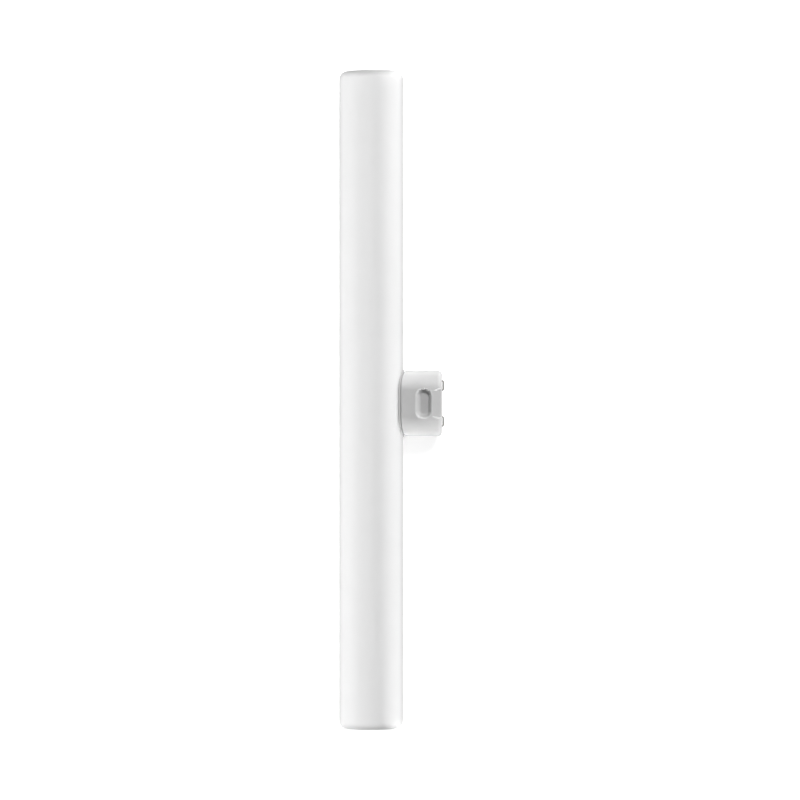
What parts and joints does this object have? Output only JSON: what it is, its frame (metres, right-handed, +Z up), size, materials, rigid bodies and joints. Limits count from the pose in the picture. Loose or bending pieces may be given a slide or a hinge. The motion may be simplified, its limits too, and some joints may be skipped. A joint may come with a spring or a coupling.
{
  "type": "tubular light bulb",
  "caption": "Opal tubular lamp with a flat-sided side cap at mid length, carrying detent pockets, lead-in ramps and formed end contacts.",
  "frame": {"origin": "middle of the underside of the whole lamp's box, on the surface that it lies on", "axes": "+Y along the tube, +Z up, the cap towards +X and tilted down until its end edge rests on the surface"},
  "size_m": [0.0476, 0.3, 0.0292],
  "materials": {
    "opal": "satin opal",
    "cap": "moulded, semi-gloss",
    "contact": "nickel-plated, pressed"
  },
  "bodies": {
    "root": {"opal_tube": "opal", "side_cap": "cap", "contact_upper": "contact", "contact_lower": "contact"}
  },
  "joints": []
}
